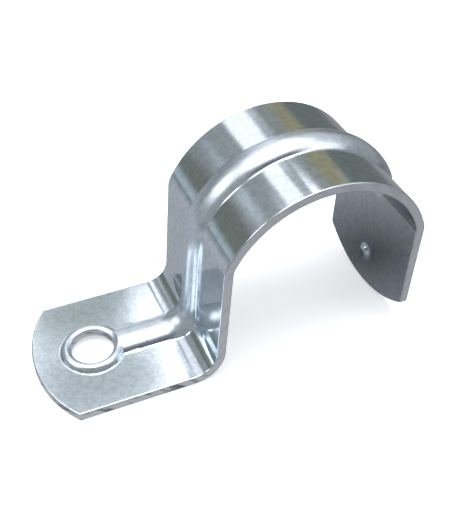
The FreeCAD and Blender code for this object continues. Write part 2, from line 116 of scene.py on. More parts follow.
# Wavering of the studio's patches, in turn and in the scale of its noise.
WAVER_TURN = math.radians(4)
WAVER_SCALE = 9.0

# Painted pool of light and painted shade on the floor that the metal mirrors: middle and
# radius. The painted shade takes this share of the light in the middle of its pool.
FRONT_POOL = ((-70 * MM, 50 * MM), 260 * MM)
SHADE_POOL = ((42 * MM, 5 * MM), 26 * MM)
SHADE_SHARE = 0.85

# The floor is a hair under the strap. The camera was solved with the strap's profile,
# from points on its edges in the photo.
FLOOR_LEVEL = -0.02 * MM
CAMERA_PLACE = (-13.38 * MM, -81.81 * MM, 92.68 * MM)
CAMERA_TURN = (47.643, -0.522, -22.817)
CAMERA_CLIP = 5 * MM
WHITE = (1, 1, 1, 1)


def length(name, millimetres, description):
    """Property for a length, given in millimetres."""
    return bpy.props.FloatProperty(name=name, description=description,
                                   default=millimetres * MM, unit="LENGTH", precision=5)


def angle(name, degrees, description):
    """Property for an angle, given in degrees."""
    return bpy.props.FloatProperty(name=name, description=description,
                                   default=math.radians(degrees), subtype="ANGLE")


def linear(code):
    """Linear red, green and blue of an sRGB hex colour."""
    levels = [int(code[place:place + 2], 16) / 255 for place in (1, 3, 5)]
    return tuple(level / 12.92 if level <= 0.04045 else ((level + 0.055) / 1.055) ** 2.4
                 for level in levels)


def colour(name, code, description):
    """Property for a colour, given as an sRGB hex value."""
    return bpy.props.FloatVectorProperty(name=name, description=description,
                                         default=linear(code), subtype="COLOR",
                                         min=0, max=1, size=3)


def number(name, value, description):
    """Property for a plain number."""
    return bpy.props.FloatProperty(name=name, description=description, default=value)


class StrapForm(bpy.types.PropertyGroup):
    """Sizes of the pressed strap: the solid's own, but for the bead's elbow and sweep."""

    strip_width: length("Strip width", 22.4, "Along the conduit")
    thickness: length("Sheet thickness", 1.4, "With its plating")
    hole_reach: length("Hole reach", 32.6, "Screw axis to conduit axis")
    foot_end: length("Foot end", 9.0, "Screw axis to the tip of the foot")
    arch_radius: length("Arch radius", 15.7, "Inside the arch")
    arch_height: length("Arch height", 29.5, "Mounting plane to the inside of the crown")
    foot_leg_tuck: length("Foot leg tuck", 1.1, "How far the leg stands inside the arch")
    foot_leg_lean: angle("Foot leg lean", 3.7, "Lean of the leg over the conduit")
    free_leg_tuck: length("Free leg tuck", 0.9, "How far the leg stands inside the arch")
    free_leg_lean: angle("Free leg lean", 1.1, "Pinch of the free leg towards its tip")
    free_leg_lift: length("Free leg lift", 0.1, "Tip above the mounting plane")
    bend_radius: length("Bend radius", 3.6, "Between foot and leg, upper side")
    shoulder_radius: length("Shoulder radius", 1.8, "Inside, where a leg meets the arch")
    end_radius: length("End radius", 18.0, "Of the rounded ends in the flat")
    edge_round: length("Edge round", 0.2, "On the sheared outline")
    hole_edge_round: length("Hole edge round", 0.12, "On the pierced edge")
    bead_height: length("Bead height", 1.3, "Above the sheet")
    bead_crest: length("Bead crest radius", 3.3, "Over the bead, outer side")
    bead_root: length("Bead root radius", 0.5, "From the bead to the sheet, outer side")
    bead_elbow: length("Bead elbow", 4.2, "Radius of its crest in the bend of the foot")
    bead_sweep: length("Bead sweep", 22.0, "Radius of its crest over the leg's shoulder")
    bead_end_rise: length("Bead end rise", 7.8, "Conduit axis up to where the bead fades")
    bead_run_out: length("Bead run-out", 4.6, "Length in which the bead fades")
    hole_diameter: length("Screw hole", 6.5, "Diameter")
    ring_height: length("Ring height", 1.0, "Of the ring round the hole")
    crest_reach: length("Crest reach", 0.7, "Edge of the hole to the ring's crest")
    ring_crest: length("Ring crest radius", 0.75, "Over the ring, outer side")
    ring_root: length("Ring root radius", 0.25, "From the flank to the foot")
    ring_slope: angle("Ring slope", 75.0, "Of the flank, from the foot")
    nub_diameter: length("Nub diameter", 3.3, "At its base")
    nub_height: length("Nub height", 0.7, "Into the conduit space")
    nub_tip: length("Nub tip", 1.3, "Diameter of its blunt tip")
    nub_round: length("Nub radius", 0.35, "At its tip and its base")
    nub_level: length("Nub level", 5.7, "Mounting plane to its middle")
    patch: length("Hole patch", 7.0, "Half side of the square meshed round the hole")


class StrapFinish(bpy.types.PropertyGroup):
    """Colours and polish of the plated sheet."""

    plate: colour("Plate", "#e0e9f2", "Bright zinc")
    haze: colour("Haze", "#bfc8cb", "Zinc where the passivation clouds it")
    edge: colour("Edge", "#f6f8fc", "Sheared edge")
    tear: colour("Torn edge", "#8f949d", "Streaks where the sheared steel tore")
    polish: number("Roughness", 0.11, "Roughness of the bright plate")
    drawn: number("Drawn roughness", 0.2, "Roughness that pressing adds on bead and ring")
    edge_polish: number("Edge roughness", 0.45, "Roughness of the sheared edge")
    cloud_size: length("Cloud size", 0.9, "Of the haze")
    grain_size: length("Grain size", 0.3, "Of the rolled sheet")
    grain_depth: length("Grain depth", 0.0025, "Of the rolled sheet")
    tear_width: length("Tear width", 1.1, "Across the streaks of the sheared edge")
    tear_length: length("Tear length", 6.0, "Along the streaks")
    tear_depth: length("Tear depth", 0.03, "Of the streaks")
    tear_slant: angle("Tear slant", 55, "Of the streaks, from the strip's length")


class Studio(bpy.types.PropertyGroup):
    """Floor, light and camera."""

    floor: colour("Floor", "#f8f9fa", "Plain pale floor")
    floor_size: length("Floor size", 640.0, "Side of the floor")
    glow: number("Glow", 0.45, "Light of the floor's own, so that it shows white")
    # Painted reflection of the floor, glowing though no lamp: a painted pool of light in
    # front of the strap and painted shade under the arch.
    painted_floor_reflection: colour("Bench", "#77797c", "Floor that the metal mirrors, far off")
    painted_reflection_light: colour("Lit bench", "#c0c3c8", "The same in front of the strap")
    painted_reflection_shade: colour("Shaded bench", "#1c2025", "The same in the shade of the arch")
    walls: colour("Walls", "#919495", "Plain walls of the studio")
    wall_light: number("Wall light", 1.2, "Brightness of the walls")
    lens: number("Lens", 53.786, "Focal length of the camera in mm")


def folds(form):
    """Bends of the strip as (start, radius, turn) along its inner face, and key stations.

    A turn is positive where the strip folds towards its outer face.
    """
    lean = form.foot_leg_lean
    pinch = form.free_leg_lean
    corner = form.shoulder_radius
    bend = form.bend_radius + form.thickness
    arch_x = form.hole_reach
    arch_z = form.arch_height - form.arch_radius
    swing = form.arch_radius - corner
    left_reach = swing - form.foot_leg_tuck
    right_reach = swing - form.free_leg_tuck
    left_angle = math.pi - lean - math.acos(left_reach / swing)
    right_angle = math.acos(right_reach / swing) - pinch
    left_z = arch_z + swing * math.sin(left_angle)
    right_z = arch_z + swing * math.sin(right_angle)
    span = left_reach + corner + bend
    bend_x = arch_x - (span - (bend - arch_z) * math.sin(lean)) / math.cos(lean)
    bend_turn = math.pi / 2 - lean
    leg_low = bend - bend * math.sin(lean)
    leg_high = left_z + corner * math.sin(lean)
    bend_end = bend_x + bend * bend_turn
    left_start = bend_end + (leg_high - leg_low) / math.cos(lean)
    left_turn = math.pi - lean - left_angle
    arch_start = left_start + corner * left_turn
    arch_turn = left_angle - right_angle
    right_start = arch_start + form.arch_radius * arch_turn
    right_turn = right_angle + pinch
    free_start = right_start + corner * right_turn
    free_high = right_z - corner * math.sin(pinch)
    rise = math.asin(form.bead_end_rise / form.arch_radius)
    bends = (
        (bend_x, bend, bend_turn),
        (left_start, corner, -left_turn),
        (arch_start, form.arch_radius, -arch_turn),
        (right_start, corner, -right_turn),
    )
    places = {
        "bead_folds": tuple(zip(bends, (form.bead_elbow, form.bead_sweep))),
        "bead_end": arch_start + form.arch_radius * (left_angle - rise),
        "nub": free_start + (free_high - form.nub_level) / math.cos(pinch),
        "tip": free_start + (free_high - form.free_leg_lift) / math.cos(pinch),
    }
    return bends, places


def step_runs(height, crest, root, slope):
    """Widths in plan of a rounded step's crest, flank and root."""
    fall = height - (crest + root) * (1 - math.cos(slope))
    return crest * math.sin(slope), max(fall, 0) / math.tan(slope), root * math.sin(slope)


def step_rise(run, height, crest, root, slope):
    """Height of a rounded step at a distance beyond the edge of its top.

    The top turns over the crest radius, goes down a flank of that slope and runs out
    over the root radius.
    """
    crest_run, flank_run, root_run = step_runs(height, crest, root, slope)
    if run <= 0:
        return height
    if run < crest_run:
        return height - crest + math.sqrt(crest ** 2 - run ** 2)
    down = run - crest_run
    if down < flank_run:
        return height - crest * (1 - math.cos(slope)) - down * math.tan(slope)
    left = crest_run + flank_run + root_run - run
    return root - math.sqrt(root ** 2 - left ** 2) if left > 0 else 0.0


def blend_up(first, second, reach):
    """The higher of two heights, eased where they are close and both above the sheet."""
    near = max(reach - abs(first - second), 0) / reach
    ease = min(first, second) / max(first, second, LEAST_HEIGHT)
    return max(first, second) + near ** 2 * reach / 4 * ease


def bead_slope(form):
    """Steepest slope of the bead's sides, where its crest and root radii meet."""
    return math.acos(1 - form.bead_height / (form.bead_crest + form.bead_root))


def bead_runs(form):
    """Widths in plan of the bead's crest, flank and root on its outer side."""
    return step_runs(form.bead_height, form.bead_crest, form.bead_root, bead_slope(form))


def bead_ease(form, places, along):
    """How much the bead's crest rises in a hollow fold, or sinks over a shoulder.

    It takes the crest round the fold on a wider arc than its own height would give.
    """
    crest = form.thickness + form.bead_height
    total = 0.0
    for (start, radius, turn), wide in places["bead_folds"]:
        half = abs(turn) / 2
        side = math.copysign(1.0, turn)
        tight = radius - side * crest
        beside = abs(along - start - radius * half) - radius * half
        reach = (wide - tight) * math.tan(half)
        if beside > reach:
            continue
        if beside > 0:
            total += side * (wide - math.sqrt(wide ** 2 - (reach - beside) ** 2))
        else:
            swung = half + beside / radius
            offset = (wide - tight) / math.cos(half)
            across = offset * math.sin(swung)
            total += side * (tight + offset * math.cos(swung)
                             - math.sqrt(wide ** 2 - across ** 2))
    return total


def pressed(form, places, along, across, depth):
    """How far the press moves a point of the blank outward.

    depth runs from nought on the inner face to one on the outer. A radius is smaller
    over the sheet than under it, or the other way about, by the sheet's thickness.
    """
    inward = form.thickness * (1 - depth)
    beyond = max(along - places["bead_end"], 0) * sum(bead_runs(form)) / form.bead_run_out
    grown = 1 + bead_ease(form, places, along) / form.bead_height
    flare = 1 + BEAD_FLARE * (grown - 1)
    bead = grown * step_rise(math.hypot(beyond, across / flare), form.bead_height,
                             form.bead_crest - inward, form.bead_root + inward,
                             bead_slope(form))
    beyond_crest = math.hypot(along, across) - form.hole_diameter / 2 - form.crest_reach
    if along < 0:
        bead = 0.0
    bead *= min(max(1 + beyond_crest / form.crest_reach, 0), 1)
    crest = max(form.ring_crest - inward, form.hole_edge_round)
    ring = step_rise(beyond_crest, form.ring_height, crest, form.ring_root + inward / 2,
                     form.ring_slope)
    dip = min(beyond_crest, 0)
    ring -= depth * (form.ring_crest - math.sqrt(form.ring_crest ** 2 - dip ** 2))
    from_tip = math.hypot(along - places["nub"], across) - form.nub_tip / 2
    nub_run = (form.nub_diameter - form.nub_tip) / 2
    nub_slope = 2 * math.atan2(form.nub_height, nub_run)
    nub_slope = min(nub_slope, math.atan2(form.nub_height, nub_run - form.nub_round))
    nub = step_rise(from_tip, form.nub_height, form.nub_round, form.nub_round, nub_slope)
    return blend_up(bead, ring, BLEND_REACH) - nub


def stations(marks, steps):
    """Rising values from mark to mark, evenly spaced no further apart than each step."""
    values = [marks[0]]
    for low, high, step in zip(marks, marks[1:], steps):
        count = math.ceil((high - low) / step - STEP_SLACK)
        values += [low + (high - low) * part / count for part in range(1, count + 1)]
    return values


def blank_stations(form, bends, places):
    """Stations along the blank and across it."""
    marks = [-form.foot_end, -form.patch, form.patch]
    steps = [FOOT_STEP, FOOT_STEP]
    for start, radius, turn in bends:
        tight = max(radius * TIGHT_TURN, TIGHT_STEP)
        marks += [start, start + radius * abs(turn)]
        steps += [STRIP_STEP, tight if radius < TIGHT_RADIUS else STRIP_STEP]
    nub = places["nub"]
    marks += [nub - NUB_REACH, nub + NUB_REACH, places["tip"]]
    steps += [STRIP_STEP, NUB_STEP, FOOT_STEP]
    along = stations(marks, steps)
    crest, flank, root = bead_runs(form)
    side = stations([0.0, crest, crest + flank + root, BEAD_REACH, form.patch,
                     form.strip_width / 2], ACROSS_STEPS)
    across = [-value for value in reversed(side[1:])] + side
    return along, across


def to_outline(form, places, along, across):
    """A station moved towards its rounded end, so that the last ones follow the arc."""
    sag = form.end_radius - math.sqrt(form.end_radius ** 2 - across ** 2)
    foot = min(max((form.patch - along) / (form.patch + form.foot_end), 0), 1)
    free = min(max((along - places["tip"] + TIP_REACH) / TIP_REACH, 0), 1)
    return along + sag * (foot - free), across


def nearest(values, target):
    """Place in a list of the value nearest to a target."""
    return min(range(len(values)), key=lambda place: abs(values[place] - target))


def blank_plan(form, bends, places):
    """The blank in plan: points, four-sided faces, the outline and the hole's edge.

    The middle of the foot is meshed in rays round the hole, from a square in the grid.
    """
    along, across = blank_stations(form, bends, places)
    points = []
    faces = []
    grid = {}
    left, right = nearest(along, -form.patch), nearest(along, form.patch)
    low, high = nearest(across, -form.patch), nearest(across, form.patch)
    for i, s in enumerate(along):
        for j, y in enumerate(across):
            if left < i < right and low < j < high:
                continue
            grid[i, j] = len(points)
            points.append(to_outline(form, places, s, y))
    for i in range(len(along) - 1):
        for j in range(len(across) - 1):
            if left <= i < right and low <= j < high:
                continue
            faces.append((grid[i, j], grid[i + 1, j], grid[i + 1, j + 1], grid[i, j + 1]))
    square = [grid[i, low] for i in range(left, right)]
    square += [grid[right, j] for j in range(low, high)]
    square += [grid[i, high] for i in range(right, left, -1)]
    square += [grid[left, j] for j in range(high, low, -1)]
    last_i = len(along) - 1
    last_j = len(across) - 1
    outline = [grid[i, 0] for i in range(last_i)]
    outline += [grid[last_i, j] for j in range(last_j)]
    outline += [grid[i, last_j] for i in range(last_i, 0, -1)]
    outline += [grid[0, j] for j in range(last_j, 0, -1)]
    loop = square
    for share in SQUARE_SHARES:
        loop = add_ring(points, faces, square, loop, RAY_REACH, share)
    for radius in reversed(ring_radii(form)):
        loop = add_ring(points, faces, square, loop, radius, 1.0)
    return points, faces, outline, loop


def ring_radii(form):
    """Radii from the edge of the hole outward, close together over the ring's rounds."""
    crest, flank, root = step_runs(form.ring_height, form.ring_crest, form.ring_root,
                                   form.ring_slope)
    middle = form.hole_diameter / 2 + form.crest_reach
    foot = middle + crest + flank + root
    inner = math.asin(form.crest_reach / form.ring_crest)
    turns = stations([-inner, 0.0, form.ring_slope], [CREST_TURN, CREST_TURN])
    radii = [middle + form.ring_crest * math.sin(turn) for turn in turns]
    radii.append(middle + crest + flank / 2)
    radii += [foot - form.ring_root * math.sin(turn)
              for turn in stations([form.ring_slope, 0.0], [ROOT_TURN])]
    return radii + stations([foot, RAY_REACH], [RING_STEP])[1:]


def add_ring(points, faces, square, loop, radius, share):
    """A ring of points inside a loop, part of the way from the square to a circle."""
    ring = []
    for index in square:
        s, y = points[index]
        turn = math.atan2(y, s)
        ring.append(len(points))
        points.append((s + (radius * math.cos(turn) - s) * share,
                       y + (radius * math.sin(turn) - y) * share))
    count = len(loop)
    for k in range(count):
        following = (k + 1) % count
        faces.append((loop[k], loop[following], ring[following], ring[k]))
    return ring


def outward(points, loop):
    """Outward steps of one unit at each point of a closed loop, mitred at its corners."""
    steps = []
    count = len(loop)
    for k in range(count):
        before = points[loop[k - 1]]
        here = points[loop[k]]
        after = points[loop[(k + 1) % count]]
        first = (here[1] - before[1], before[0] - here[0])
        second = (after[1] - here[1], here[0] - after[0])
        first_size = math.hypot(*first)
        second_size = math.hypot(*second)
        normal = (first[0] / first_size + second[0] / second_size,
                  first[1] / first_size + second[1] / second_size)
        size = (normal[0] ** 2 + normal[1] ** 2) / 2
        steps.append((normal[0] / size, normal[1] / size))
    return steps


def rim_profile(thickness, radius, support):
    """Section of a rounded sheet edge, outer face to inner: how far in, and how deep."""
    upper = [(radius * (1 - math.sin(turn)), thickness - radius * (1 - math.cos(turn)))
             for turn in RIM_TURNS]
    walls = [(0.0, thickness * share) for share in WALL_SHARES]
    lower = [(inset, thickness - level) for inset, level in reversed(upper)]
    inside = radius + support
    return [(inside, thickness)] + upper + walls + lower + [(inside, 0.0)]


def build_blank(form):
    """The flat blank as a closed mesh, with what the press does kept on its points."""
    bends, places = folds(form)
    points, faces, outline, hole = blank_plan(form, bends, places)
    mesh = bpy.data.meshes.new("strap_blank")
    bm = bmesh.new()
    flat = bm.verts.layers.float.new("flat_along")
    press = bm.verts.layers.float.new("press_out")
    sheared = bm.faces.layers.bool.new("sheared")
    plan = bm.loops.layers.uv.new("rolled_sheet")

    def vertex(s, y, level):
        vert = bm.verts.new((s, y, level))
        vert[flat] = s
        vert[press] = pressed(form, places, s, y, level / form.thickness)
        return vert

    def cover(corners):
        face = bm.faces.new(corners)
        face.smooth = True
        for loop in face.loops:
            loop[plan].uv = (loop.vert[flat] / MM, (loop.vert.co.y + loop.vert.co.z) / MM)
        return face

    rims = ((outline, form.edge_round, OUTLINE_SUPPORT),
            (hole, form.hole_edge_round, HOLE_SUPPORT))
    moved = list(points)
    edges = []
    for loop, radius, support in rims:
        steps = outward(points, loop)
        if loop is hole:
            steps = [(-step[0], -step[1]) for step in steps]
        inside = radius + support
        for index, step in zip(loop, steps):
            s, y = points[index]
            moved[index] = (s - step[0] * inside, y - step[1] * inside)
        edges.append((loop, steps, rim_profile(form.thickness, radius, support)))
    upper = [vertex(s, y, form.thickness) for s, y in moved]
    lower = [vertex(s, y, 0.0) for s, y in moved]
    for face in faces:
        cover([upper[index] for index in face])
        cover([lower[index] for index in reversed(face)])
    for loop, steps, profile in edges:
        above = [upper[index] for index in loop]
        for inset, level in profile[1:]:
            if (inset, level) == profile[-1]:
                below = [lower[index] for index in loop]
            else:
                below = [vertex(points[index][0] - step[0] * inset,
                                points[index][1] - step[1] * inset, level)
                         for index, step in zip(loop, steps)]
            wall = min(above[0].co.z, level)
            for k in range(len(loop)):
                after = (k + 1) % len(loop)
                face = cover([above[k], below[k], below[after], above[after]])
                face[sheared] = inset == 0 and wall > 0 and above[0].co.z < form.thickness
            above = below
    bmesh.ops.recalc_face_normals(bm, faces=bm.faces[:])
    for edge in bm.edges:
        if edge.is_manifold and edge.calc_face_angle() > SHARP_TURN:
            edge.smooth = False
    bm.to_mesh(mesh)
    bm.free()
    return mesh, bends


def add(tree, kind, inputs=None, **settings):
    """A node with its settings, its constant values and its links."""
    node = tree.nodes.new(kind)
    for name, value in settings.items():
        setattr(node, name, value)
    for key, value in (inputs or {}).items():
        if isinstance(value, bpy.types.NodeSocket):
            tree.links.new(value, node.inputs[key])
        else:
            node.inputs[key].default_value = value
    return node


def maths(tree, operation, *values):
    """Result of one operation on one, two or three values."""
    return add(tree, "ShaderNodeMath", dict(enumerate(values)),
               operation=operation).outputs[0]


def spread(tree, value, low, high, to_low=0.0, to_high=1.0, **settings):
    """A value taken from one range to another, and held within it."""
    return add(tree, "ShaderNodeMapRange",
               {"Value": value, "From Min": low, "From Max": high,
                "To Min": to_low, "To Max": to_high}, **settings).outputs[0]


def ask(tree, kind, *names, in_out="INPUT"):
    """Named sockets of one kind on the outside of a node tree."""
    for name in names:
        tree.interface.new_socket(name, in_out=in_out, socket_type=f"NodeSocket{kind}")


def kept(tree, name, kind):
    """What the blank's points or faces keep under a name."""
    return add(tree, "GeometryNodeInputNamedAttribute", {"Name": name},
               data_type=kind).outputs["Attribute"]


def fold_tree():
    """Node group that folds everything beyond a station of the blank round one bend."""
    tree = bpy.data.node_groups.new("Fold one bend", "GeometryNodeTree")
    ask(tree, "Geometry", "Geometry")
    ask(tree, "Float", "Start", "Radius", "Turn")
    ask(tree, "Geometry", "Geometry", in_out="OUTPUT")
    given = add(tree, "NodeGroupInput").outputs
    start, radius, turn = given["Start"], given["Radius"], given["Turn"]
    arc = maths(tree, "MULTIPLY", maths(tree, "ABSOLUTE", turn), radius)
    share = spread(tree, kept(tree, "flat_along", "FLOAT"), start,
                   maths(tree, "ADD", start, arc))
    turned = maths(tree, "MULTIPLY", share, turn)
    swing = maths(tree, "MULTIPLY", radius, maths(tree, "SIGN", turn))
    folded_x = maths(tree, "MULTIPLY_ADD", maths(tree, "SINE", turned), swing, start)
    drop = maths(tree, "MULTIPLY", maths(tree, "COSINE", turned), swing)
    folded_z = maths(tree, "SUBTRACT", swing, drop)
    flat_x = maths(tree, "MULTIPLY_ADD", share, arc, start)
    here = add(tree, "ShaderNodeVectorMath",
               {0: add(tree, "GeometryNodeInputPosition").outputs[0],
                1: add(tree, "ShaderNodeCombineXYZ", {"X": flat_x}).outputs[0]},
               operation="SUBTRACT").outputs[0]
    turned_here = add(tree, "ShaderNodeVectorRotate",
                      {"Vector": here, "Angle": maths(tree, "MULTIPLY", turned, -1.0)},
                      rotation_type="Y_AXIS").outputs[0]
    folded = add(tree, "ShaderNodeCombineXYZ", {"X": folded_x, "Z": folded_z}).outputs[0]
    place = add(tree, "ShaderNodeVectorMath", {0: turned_here, 1: folded},
                operation="ADD").outputs[0]
    strip = add(tree, "GeometryNodeSetPosition",
                {"Geometry": given["Geometry"], "Position": place}).outputs[0]
    add(tree, "NodeGroupOutput", {"Geometry": strip})
    return tree


BEND_NAMES = ("Foot bend", "Foot leg shoulder", "Arch", "Free leg shoulder")
BEND_PARTS = ("start", "radius", "turn")


def press_tree():
    """Node tree that presses the blank, folds it from its far end and plates it."""
    fold = fold_tree()
    tree = bpy.data.node_groups.new("Press and fold the strap", "GeometryNodeTree")
    ask(tree, "Geometry", "Geometry")
    ask(tree, "Float", *[f"{bend} {part}" for bend in BEND_NAMES for part in BEND_PARTS])
    ask(tree, "Material", "Plate", "Sheared edge")
    ask(tree, "Geometry", "Geometry", in_out="OUTPUT")
    given = add(tree, "NodeGroupInput").outputs
    press = kept(tree, "press_out", "FLOAT")
    lift = add(tree, "ShaderNodeCombineXYZ", {"Z": press}).outputs[0]
    strip = add(tree, "GeometryNodeSetPosition",
                {"Geometry": given["Geometry"], "Offset": lift}).outputs[0]
    for bend in reversed(BEND_NAMES):
        sizes = {part.capitalize(): given[f"{bend} {part}"] for part in BEND_PARTS}
        strip = add(tree, "GeometryNodeGroup", {"Geometry": strip, **sizes},
                    node_tree=fold).outputs["Geometry"]
    whole = add(tree, "GeometryNodeRealizeInstances", {"Geometry": strip}).outputs[0]
    plated = add(tree, "GeometryNodeSetMaterial",
                 {"Geometry": whole, "Material": given["Plate"]}).outputs[0]
    edged = add(tree, "GeometryNodeSetMaterial",
                {"Geometry": plated, "Selection": kept(tree, "sheared", "BOOLEAN"),
                 "Material": given["Sheared edge"]}).outputs[0]
    add(tree, "NodeGroupOutput", {"Geometry": edged})
    return tree


def new_material(name):
    """Empty node material and its tree."""
    material = bpy.data.materials.new(name)
    material.use_nodes = True
    material.node_tree.nodes.clear()
    return material, material.node_tree


def opaque(levels, strength=1.0):
    """Colour value of a socket, from linear levels and their strength."""
    return (*[strength * level for level in levels], 1)


def mix(tree, factor, first, second, **settings):
    """Colour between two others."""
    return add(tree, "ShaderNodeMix", {"Factor": factor, "A": first, "B": second},
               data_type="RGBA", **settings).outputs["Result"]


def noise(tree, vector, scale, roughness=0.5):
    """Outputs of a noise with two finer octaves."""
    return add(tree, "ShaderNodeTexNoise",
               {"Vector": vector, "Scale": scale, "Detail": 2,
                "Roughness": roughness}).outputs


def metal(tree, tint, roughness, height, strength, depth):
    """Surface of bare metal with a bump, joined to the material's output."""
    bump = add(tree, "ShaderNodeBump",
               {"Height": height, "Strength": strength, "Distance": depth}).outputs[0]
    shader = add(tree, "ShaderNodeBsdfPrincipled",
                 {"Base Color": tint, "Metallic": 1.0, "Roughness": roughness,
                  "Normal": bump}).outputs[0]
    add(tree, "ShaderNodeOutputMaterial", {"Surface": shader})


def zinc_plate(finish):
    """Bright zinc electroplate on cold-rolled sheet.

    It gives the eye a cool mirror, a little broken up by the grain of the rolled steel
    under it, with faint clouds where the clear passivation dulls it. Where the press drew
    the sheet out, over the bead and the ring, it is less of a mirror.
    """
    material, tree = new_material("Bright zinc plate on rolled sheet")
    place = add(tree, "ShaderNodeTexCoord").outputs["Object"]
    cloud = noise(tree, place, scale=1 / finish.cloud_size, roughness=0.7)[0]
    clouded = spread(tree, cloud, low=0.42, high=0.64, to_high=0.5)
    tint = mix(tree, clouded, opaque(finish.plate), opaque(finish.haze))
    grain = noise(tree, place, scale=1 / finish.grain_size, roughness=0.7)[0]
    press = add(tree, "ShaderNodeAttribute", attribute_name="press_out").outputs["Fac"]
    rough = spread(tree, press, low=0.0, high=DRAWN_HEIGHT,
                   to_low=finish.polish, to_high=finish.polish + finish.drawn)
    metal(tree, tint, rough, height=grain, strength=1.0, depth=finish.grain_depth)
    return material


def sheared_edge(finish):
    """Zinc plate over the sheet's sheared edge.

    It gives the eye a duller grey band, with dark slanting streaks along the foot where
    the steel tore.
    """
    material, tree = new_material("Zinc plate on sheared steel edge")
    place = add(tree, "ShaderNodeUVMap", uv_map="rolled_sheet").outputs[0]
    slant = add(tree, "ShaderNodeMapping",
                {"Vector": place, "Rotation": (0, 0, finish.tear_slant),
                 "Scale": (finish.tear_width / MM, finish.tear_length / MM, 1)},
                vector_type="TEXTURE").outputs[0]
    tear = noise(tree, slant, scale=1.0)[0]
    along = add(tree, "ShaderNodeSeparateXYZ", {0: place}).outputs["X"]
    most = spread(tree, along, *TEARS_FADE, to_low=1.0, to_high=TEARS_LEFT)
    torn = spread(tree, tear, low=0.5, high=0.6, to_high=most)
    tint = mix(tree, torn, opaque(finish.edge), opaque(finish.tear))
    metal(tree, tint, finish.edge_polish, height=tear, strength=0.3,
          depth=finish.tear_depth)
    return material


class STRAP_OT_press(bpy.types.Operator):
    """Press and fold the strap from its blank"""

    bl_idname = "strap.press"
    bl_label = "Press the strap"

    def execute(self, context):
        form = context.scene.strap_form
        finish = context.scene.strap_finish
        blank, bends = build_blank(form)
        flat = bpy.data.objects.new("strap_blank", blank)
        context.scene.collection.objects.link(flat)
        tree = press_tree()
        sockets = {item.name: item.identifier for item in tree.interface.items_tree
                   if item.in_out == "INPUT"}
        modifier = flat.modifiers.new("Press and fold", "NODES")
        modifier.node_group = tree
        for name, values in zip(BEND_NAMES, bends):
            for part, value in zip(BEND_PARTS, values):
                modifier[sockets[f"{name} {part}"]] = value
        modifier[sockets["Plate"]] = zinc_plate(finish)
        modifier[sockets["Sheared edge"]] = sheared_edge(finish)
        graph = context.evaluated_depsgraph_get()
        mesh = bpy.data.meshes.new_from_object(flat.evaluated_get(graph))
        mesh.name = "pressed_strap"
        flat.modifiers.remove(modifier)
        bpy.data.objects.remove(flat)
        piece = bpy.data.objects.new("pressed_strap", mesh)
        context.scene.collection.objects.link(piece)
        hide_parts("strap")
        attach(piece, "root")
        return {"FINISHED"}


# Patches of the studio round the strap, as a soft-edged box of directions each: middle
# and half width of its azimuth, the same of its elevation, softness, all in degrees,
# and its brightness and colour. Azimuth is from +Y towards +X. A later patch covers an
# earlier one.
PATCHES = (
    ("pale wall", 80, 50, 46, 18, 8, 1.25, "#bcbfc3"),
    ("right window", 124, 20, 46, 17, 6, 1.5, "#fafbff"),
    ("photographer", 178, 27, 46, 13, 6, 1.0, "#6c6c77"),
    ("grey wall", -18, 14, 15, 11, 5, 1.25, "#7d8186"),
    ("olive curtain", 26, 7, 34, 7, 2.5, 1.25, "#868a85"),
    ("window", -15, 33, 60, 16.5, 2.5, 1.1, "#f8faff"),
    ("window by the leg", 18.5, 5, 55, 11.4, 0.8, 2.2, "#fafbff"),
    ("left door", -45, 9, 12, 10, 3, 1.25, "#6c7069"),
    ("left shelf", -34, 4.5, 30, 3.5, 3, 1.25, "#b1babc"),
    ("left sill", -46, 8, -3, 5, 3, 1.25, "#a3b0b5"),
    ("left window", -83, 27, 39.5, 9.5, 4, 2.7, "#fafbff"),
    ("right door", 43, 10, 8, 19, 4, 1.25, "#666b68"),
    ("wooden frame", 34.5, 6, 30, 8, 3.2, 1.3, "#8c866c"),
    ("light column", 8, 8, 22, 16, 4, 1.5, "#d2d5da"),
    ("lower window", -1, 11.5, 41.5, 6, 2, 1.4, "#fbfdff"),
    ("far card", 8.6, 5, 44.5, 2, 1, 1.25, "#8e9694"),
    ("near card", 10.5, 6.5, 50.2, 2.3, 1.2, 1.25, "#a2aaaa"),
    ("ceiling", 0, 181, 78, 15, 7, 3.4, "#ffffff"),
)


